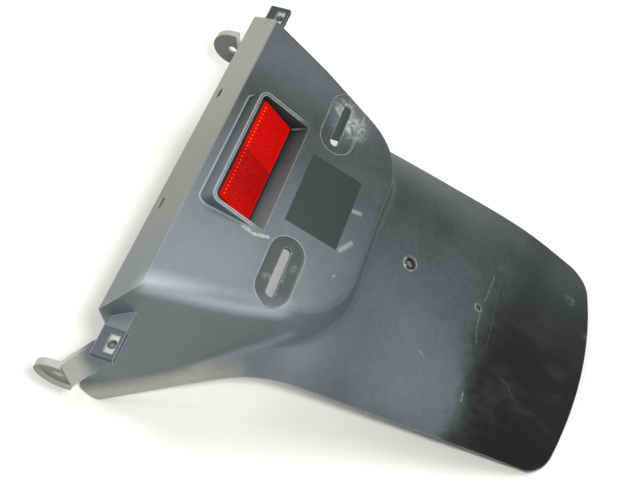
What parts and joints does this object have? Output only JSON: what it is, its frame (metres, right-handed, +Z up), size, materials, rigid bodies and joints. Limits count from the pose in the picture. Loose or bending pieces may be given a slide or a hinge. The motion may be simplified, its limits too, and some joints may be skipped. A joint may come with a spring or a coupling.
{
  "type": "rear splash guard",
  "caption": "Arched plastic splash guard for the rear wheel of a motorcycle, with a boxed plate carrier, slots, side bolt ears, clip nuts and a red reflector.",
  "frame": {"origin": "on the surface that the guard rests on, under the middle of its overall box", "axes": "+X across the guard, +Y from the tip of the flap to the open mouth, +Z up from the table"},
  "size_m": [0.3472, 0.3882, 0.1954],
  "materials": {
    "guard_plastic": "fine moulded grain, hazed and scuffed",
    "reflector_black": "gloss",
    "reflector_red": "clear red with small prisms behind the face",
    "zinc_steel": "zinc plated",
    "clip_steel": "dark phosphate"
  },
  "bodies": {
    "root": {"guard_body": "guard_plastic", "reflector_base": "reflector_black", "reflector_lens": "reflector_red", "clip_nut_left": "clip_steel", "clip_nut_right": "clip_steel"}
  },
  "joints": []
}
